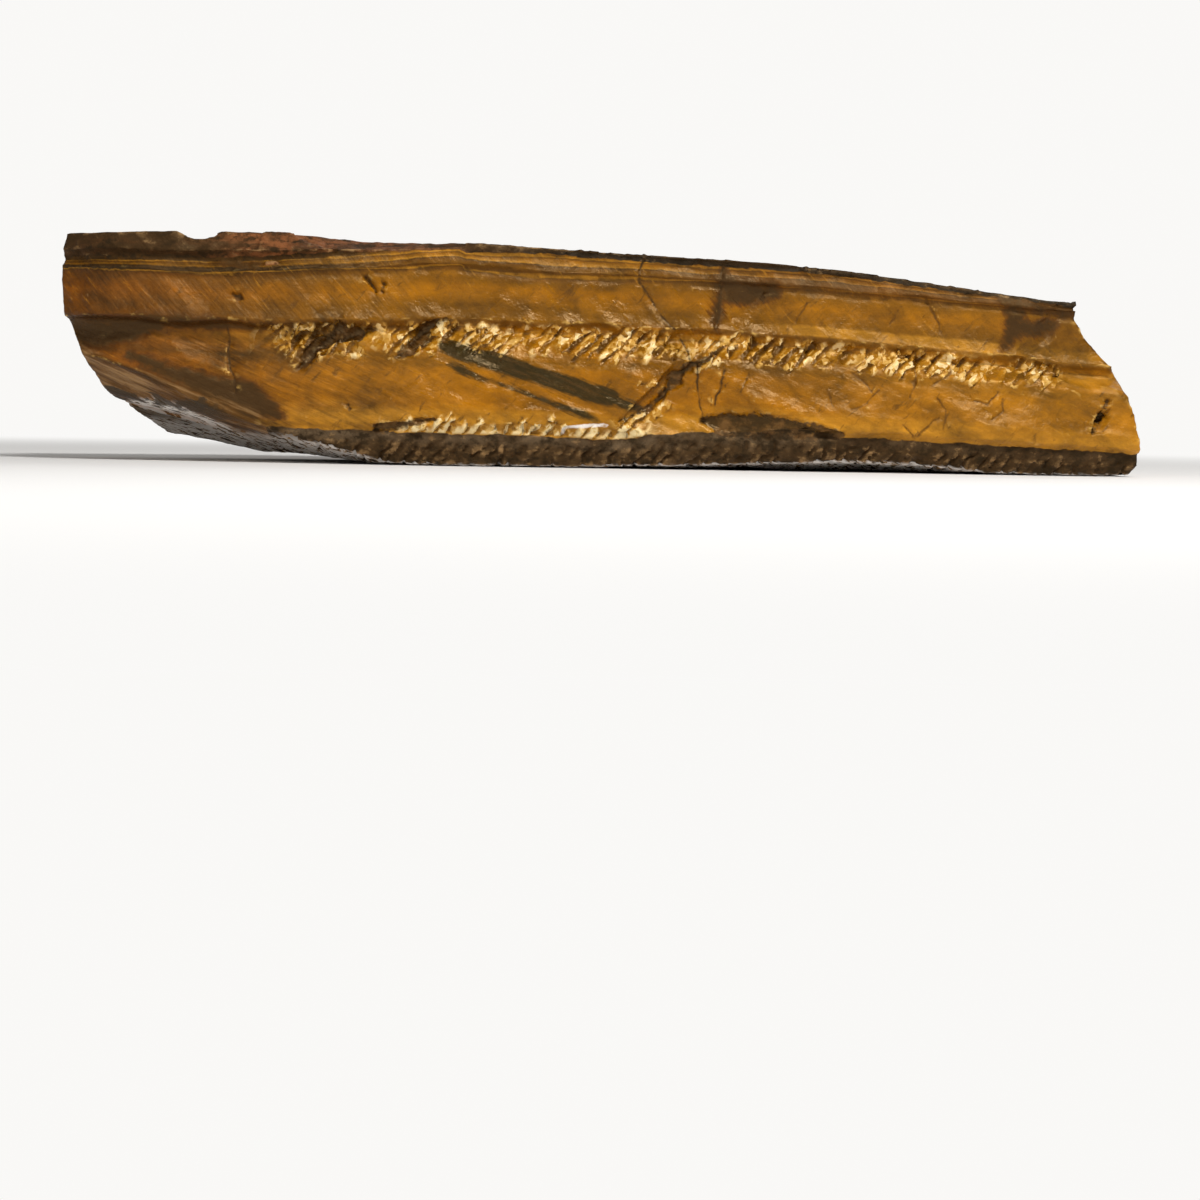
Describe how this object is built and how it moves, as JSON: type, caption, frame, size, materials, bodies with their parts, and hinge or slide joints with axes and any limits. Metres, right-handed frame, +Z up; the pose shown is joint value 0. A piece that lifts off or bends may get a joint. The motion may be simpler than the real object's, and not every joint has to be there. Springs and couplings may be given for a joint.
{
  "type": "rough tiger's eye slab",
  "caption": "Rough slab of golden tiger's eye: a broken, fibrous front face with ledges and bands between a dark rock skin above and below, tapering to one end; lies on its underside.",
  "frame": {"origin": "on the surface that the slab lies on, under the middle of its plan", "axes": "+X along the slab towards its tapered end, +Y from the broken front face to the back, +Z up"},
  "size_m": [0.2298, 0.0784, 0.0494],
  "materials": {
    "quartz_fibre": "broken face with a silky, wet-looking lustre, golden brown with bands, under a dull dark brown rock skin"
  },
  "bodies": {
    "root": {"slab": "quartz_fibre"}
  },
  "joints": []
}
